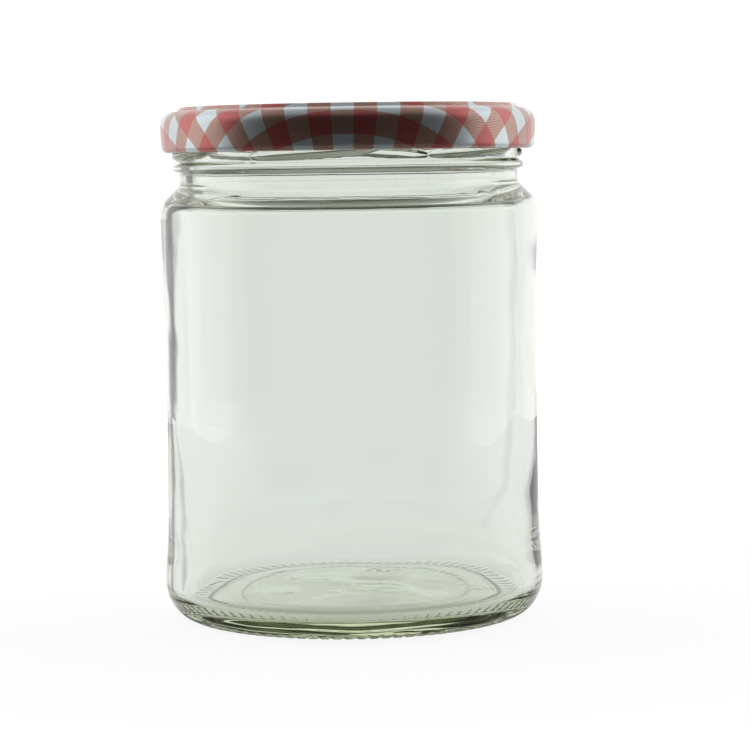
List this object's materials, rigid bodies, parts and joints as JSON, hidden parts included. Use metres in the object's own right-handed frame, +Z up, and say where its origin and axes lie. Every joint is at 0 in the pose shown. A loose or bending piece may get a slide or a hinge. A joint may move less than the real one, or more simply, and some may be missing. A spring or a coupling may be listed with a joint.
{
  "type": "preserving jar",
  "caption": "Round clear glass preserving jar, empty, closed by a twist-off lid with a red and white gingham print on its top and skirt",
  "frame": {"origin": "Centre of the base, on the surface the jar stands on.", "axes": "+Z runs up the jar's axis to the lid, -Y is the front shown, +X is to the right seen from the front."},
  "size_m": [0.087, 0.087, 0.1172],
  "materials": {
    "glass": "clear, faintly green soda-lime glass",
    "lid_tinplate": "glossy lacquer over a printed red and white gingham",
    "lid_lining": "smooth cream sealing compound"
  },
  "bodies": {
    "root": {"jar": "glass", "lid": "lid_tinplate", "lid_seal": "lid_lining"}
  },
  "joints": []
}
